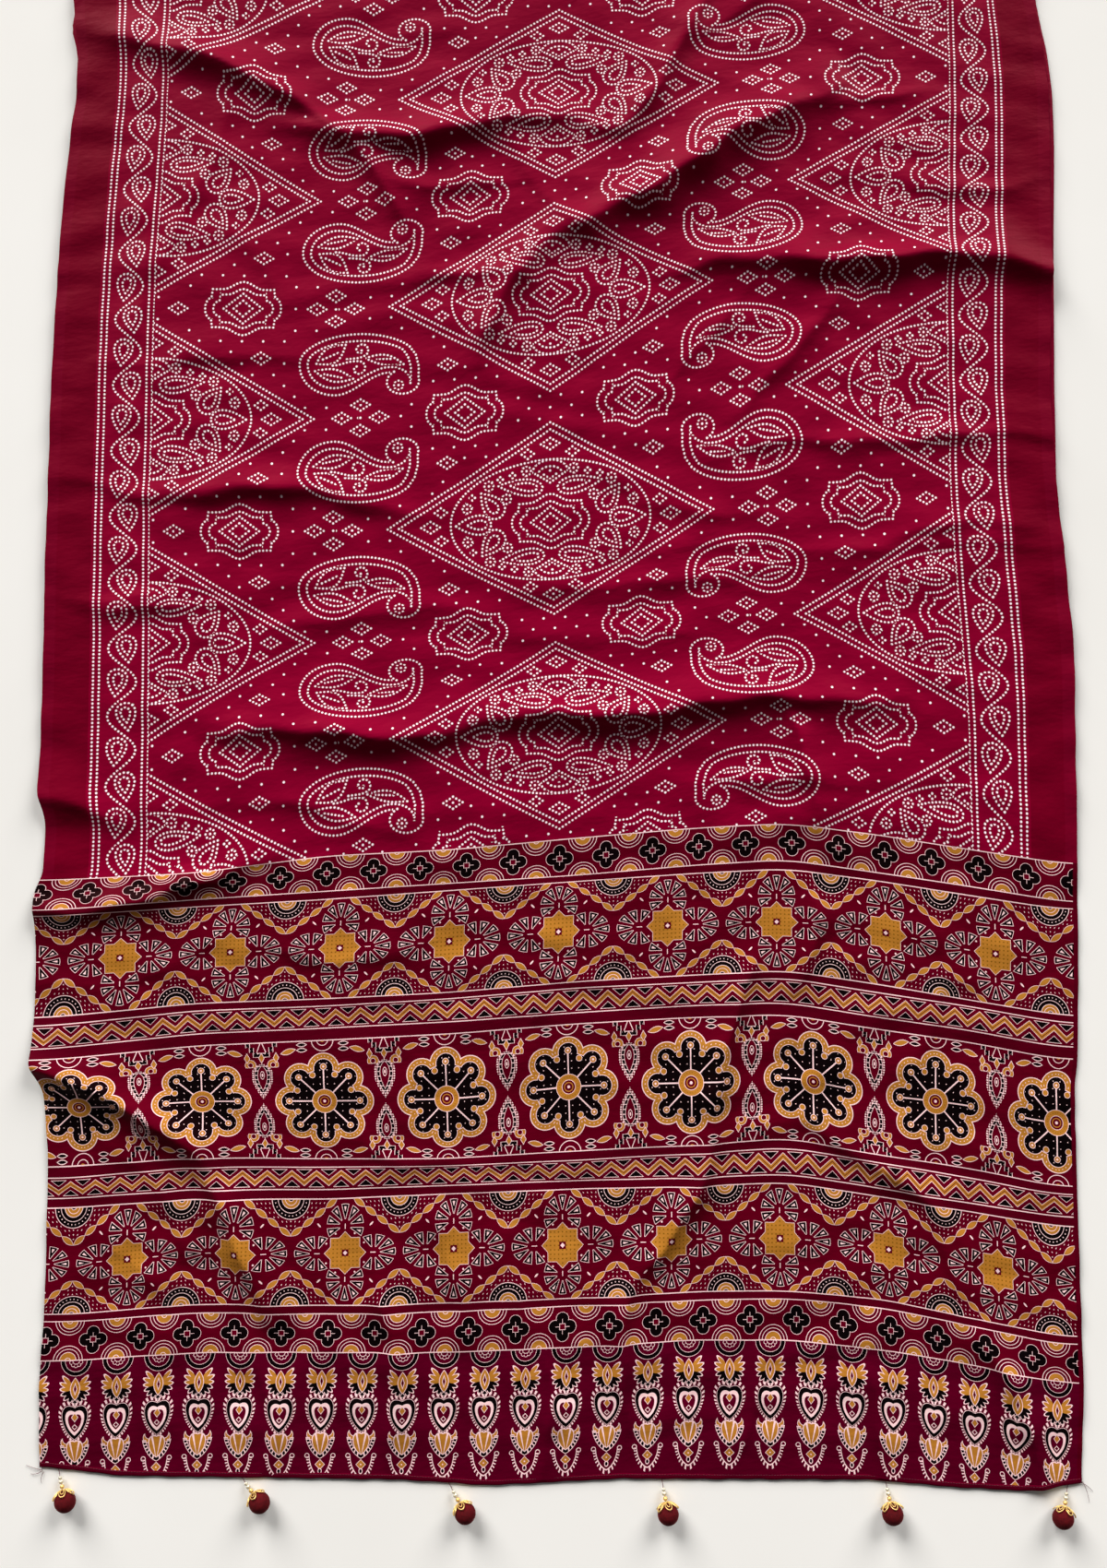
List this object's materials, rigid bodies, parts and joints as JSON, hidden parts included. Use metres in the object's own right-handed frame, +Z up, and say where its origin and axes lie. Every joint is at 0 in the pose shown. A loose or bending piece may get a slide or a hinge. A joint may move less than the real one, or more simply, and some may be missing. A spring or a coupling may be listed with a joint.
{
  "type": "ajrakh saree",
  "caption": "Long printed crepe cloth laid flat with its rest folded under: dotted body, banded ajrakh pallu and velvet ball tassels on the hem.",
  "frame": {"origin": "middle of the footprint, on the floor", "axes": "+X across the cloth's width, +Y from the tasselled hem to the folded end, +Z up"},
  "size_m": [1.1562, 1.8112, 0.0226],
  "materials": {
    "body_crepe": "satin-like printed crepe",
    "pallu_crepe": "satin-like printed crepe",
    "velvet": "velvet",
    "gold": "bright gold plate",
    "small_bead": "clear silvery glass"
  },
  "bodies": {
    "root": {"body_cloth": "body_crepe", "pallu_cloth": "pallu_crepe", "pallu_hem": "pallu_crepe", "folded_layers": "body_crepe", "tassel_1_ball": "velvet", "tassel_1_cap": "gold", "tassel_1_bead": "gold", "tassel_1_string": "small_bead", "tassel_2_ball": "velvet", "tassel_2_cap": "gold", "tassel_2_bead": "gold", "tassel_2_string": "small_bead", "tassel_3_ball": "velvet", "tassel_3_cap": "gold", "tassel_3_bead": "gold", "tassel_3_string": "small_bead", "tassel_4_ball": "velvet", "tassel_4_cap": "gold", "tassel_4_bead": "gold", "tassel_4_string": "small_bead", "tassel_5_ball": "velvet", "tassel_5_cap": "gold", "tassel_5_bead": "gold", "tassel_5_string": "small_bead", "tassel_6_ball": "velvet", "tassel_6_cap": "gold", "tassel_6_bead": "gold", "tassel_6_string": "small_bead"}
  },
  "joints": []
}
